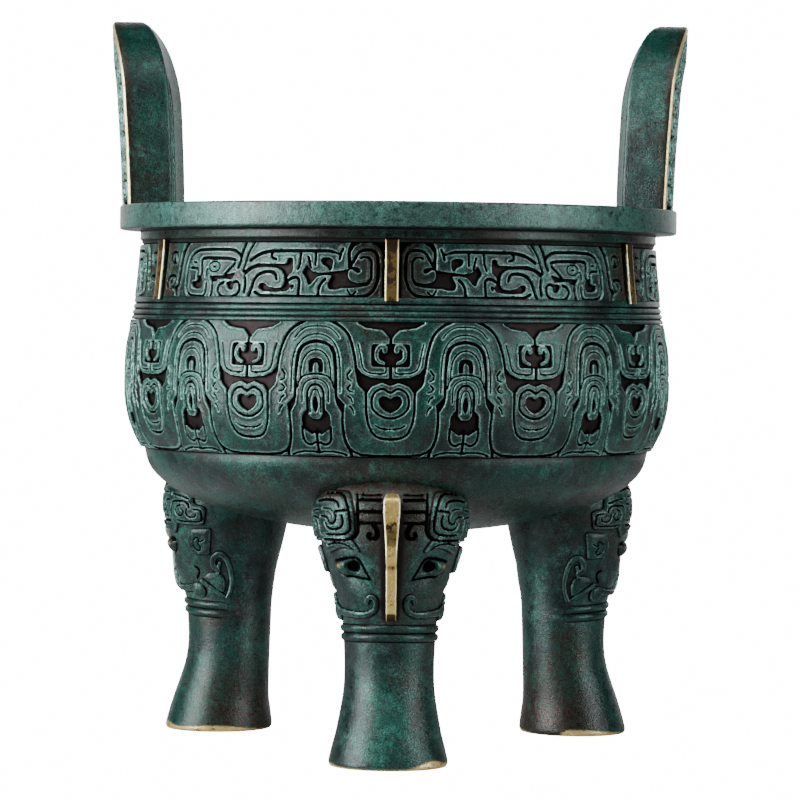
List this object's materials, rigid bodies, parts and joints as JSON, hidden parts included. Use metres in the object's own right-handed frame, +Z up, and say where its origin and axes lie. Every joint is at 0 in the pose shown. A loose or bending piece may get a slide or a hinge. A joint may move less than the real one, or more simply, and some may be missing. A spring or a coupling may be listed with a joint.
{
  "type": "bronze ding vessel",
  "caption": "Round-bellied cast bronze tripod cauldron with upright arched handles, carved bands and animal-mask legs.",
  "frame": {"origin": "middle of the footprint, on the plane the three feet stand on, under the centre of the bowl", "axes": "+Z up; -Y is the front, where one leg, one flange and one heart of the wave band face; the handles stand at -X and +X"},
  "size_m": [0.1964, 0.1898, 0.245],
  "materials": {
    "patinated_bronze": "dark green patina with a waxed semi-gloss, near-black recesses and bare yellow metal on the flanges"
  },
  "bodies": {
    "root": {"ding_vessel": "patinated_bronze"}
  },
  "joints": []
}
